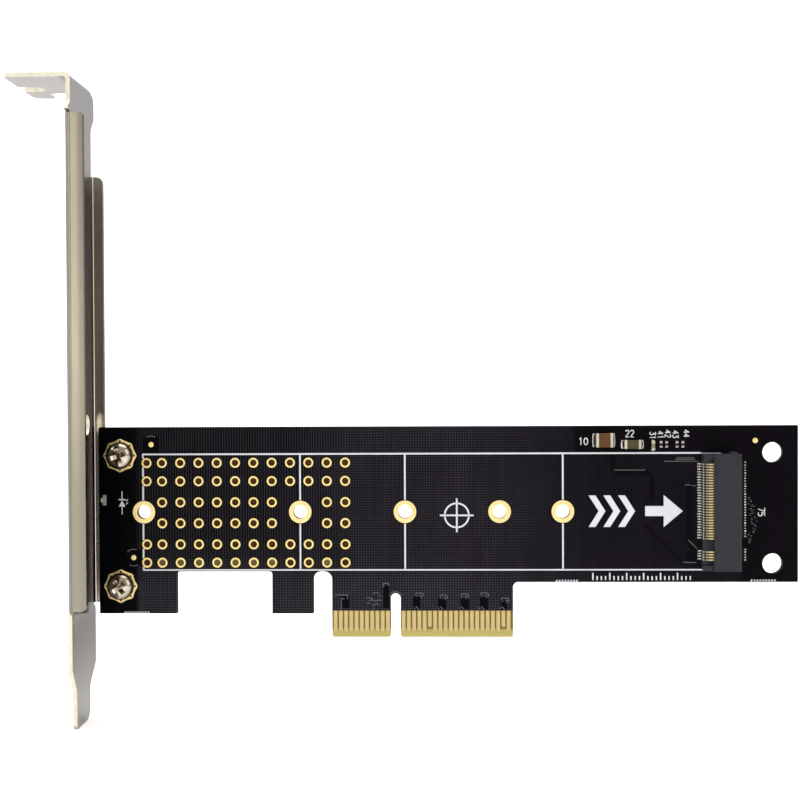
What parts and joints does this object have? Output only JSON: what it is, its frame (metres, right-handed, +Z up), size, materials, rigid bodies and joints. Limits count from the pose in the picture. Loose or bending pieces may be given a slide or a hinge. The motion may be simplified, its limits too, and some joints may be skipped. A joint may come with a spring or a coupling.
{
  "type": "adapter card for a computer drive",
  "caption": "Low card that carries a stick drive flat on its face and plugs into an expansion slot, with a full-height folded bracket.",
  "frame": {"origin": "centre of the key notch, at the bottom of the contact edge, halfway through the board", "axes": "+X along the board away from the bracket, +Y out of the solder side, +Z up the bracket"},
  "size_m": [0.1466, 0.023, 0.12],
  "materials": {
    "board_mask": "semi-gloss black solder mask on glass-fibre board",
    "contact_gold": "gold plating, satin",
    "land_gold": "gold-plated copper, satin",
    "white_ink": "matt printed ink",
    "socket_plastic": "matt moulded dark grey",
    "socket_spring": "gold-plated springs with tinned tails",
    "tin": "bright tinned metal",
    "solder": "smooth solder",
    "capacitor_brown": "matt fired ceramic, brown",
    "capacitor_olive": "matt fired ceramic, olive",
    "resistor_black": "glossy black coat",
    "lamp_case": "matt white case",
    "lamp_lens": "clear cast resin",
    "bracket_steel": "nickel-plated sheet steel, satin",
    "screw_steel": "nickel-plated steel"
  },
  "bodies": {
    "root": {"circuit_board": "board_mask", "edge_contacts_front": "contact_gold", "edge_contacts_back": "contact_gold", "standoff_lands": "land_gold", "thermal_via_lands": "land_gold", "screw_lands": "land_gold", "fiducial_pads": "land_gold", "drive_outline_print": "white_ink", "m2_socket_housing": "socket_plastic", "m2_socket_contacts_lower": "socket_spring", "m2_socket_contacts_upper": "socket_spring", "m2_socket_hold_downs": "tin", "bulk_capacitor_body": "capacitor_brown", "filter_capacitor_body": "capacitor_olive", "small_capacitor_body": "capacitor_brown", "capacitor_terminals": "tin", "chip_resistor_bodies": "resistor_black", "chip_resistor_terminals": "tin", "solder_fillets": "solder", "indicator_led_body": "lamp_case", "indicator_led_lens": "lamp_lens", "indicator_led_terminals": "tin", "bracket": "bracket_steel", "bracket_screws": "screw_steel"}
  },
  "joints": []
}
